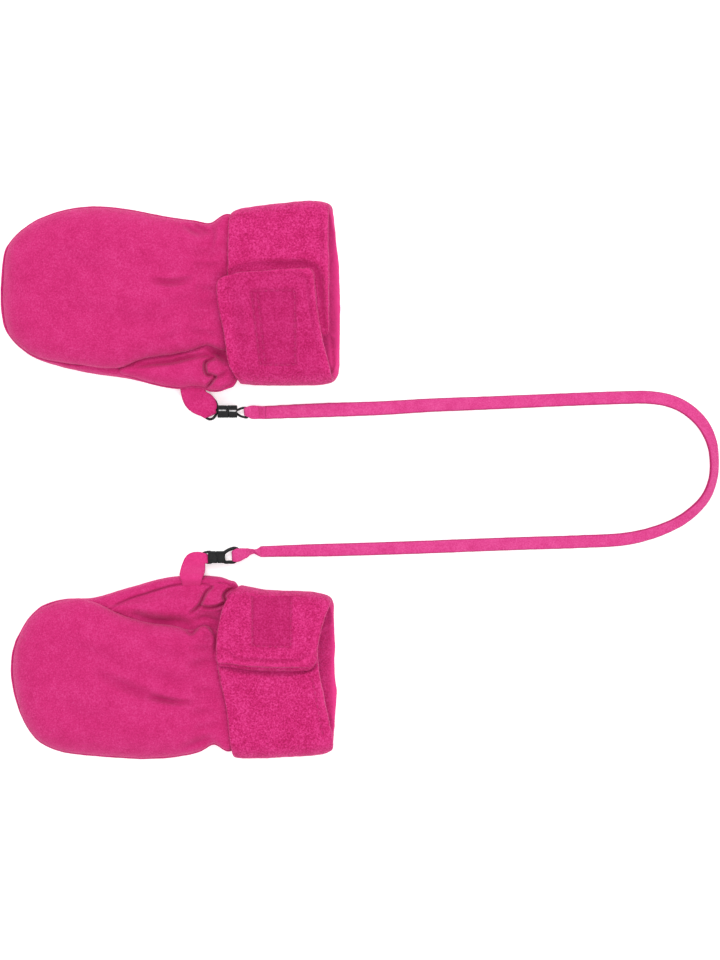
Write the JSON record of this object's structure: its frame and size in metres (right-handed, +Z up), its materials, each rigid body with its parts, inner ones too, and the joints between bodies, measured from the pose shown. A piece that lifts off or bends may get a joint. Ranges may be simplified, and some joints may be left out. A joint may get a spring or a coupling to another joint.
{
  "type": "pair of mittens",
  "caption": "Child's fleece mittens lying flat with the palms up, with wide closing cuffs, joined by a long strap with a clip at each end.",
  "frame": {"origin": "centre of the two mittens' box, on the surface that they lie on", "axes": "+X from the fingertips to the cuffs and the strap, +Y from the lower mitten to the upper one, +Z up out of the palms"},
  "size_m": [0.3242, 0.2514, 0.021],
  "materials": {
    "upper_back_panel": "matte fleece pile",
    "upper_palm_panel": "matte fleece pile",
    "upper_thumb_panel": "matte fleece pile",
    "upper_cuff": "matte fleece pile",
    "upper_hanger_tab": "matte fleece pile",
    "upper_clip_tab_half": "moulded, satin",
    "upper_clip_cord_half": "moulded, satin",
    "upper_cord_end": "knitted strap",
    "lower_back_panel": "matte fleece pile",
    "lower_palm_panel": "matte fleece pile",
    "lower_thumb_panel": "matte fleece pile",
    "lower_cuff": "matte fleece pile",
    "lower_hanger_tab": "matte fleece pile",
    "lower_clip_tab_half": "moulded, satin",
    "lower_clip_cord_half": "moulded, satin",
    "lower_cord_end": "knitted strap",
    "cord": "knitted strap"
  },
  "bodies": {
    "root": {"upper_back_panel": "upper_back_panel", "upper_palm_panel": "upper_palm_panel", "upper_thumb_panel": "upper_thumb_panel", "upper_cuff": "upper_cuff", "upper_hanger_tab": "upper_hanger_tab", "upper_clip_tab_half": "upper_clip_tab_half", "upper_clip_cord_half": "upper_clip_cord_half", "upper_cord_end": "upper_cord_end", "lower_back_panel": "lower_back_panel", "lower_palm_panel": "lower_palm_panel", "lower_thumb_panel": "lower_thumb_panel", "lower_cuff": "lower_cuff", "lower_hanger_tab": "lower_hanger_tab", "lower_clip_tab_half": "lower_clip_tab_half", "lower_clip_cord_half": "lower_clip_cord_half", "lower_cord_end": "lower_cord_end", "cord": "cord"}
  },
  "joints": []
}
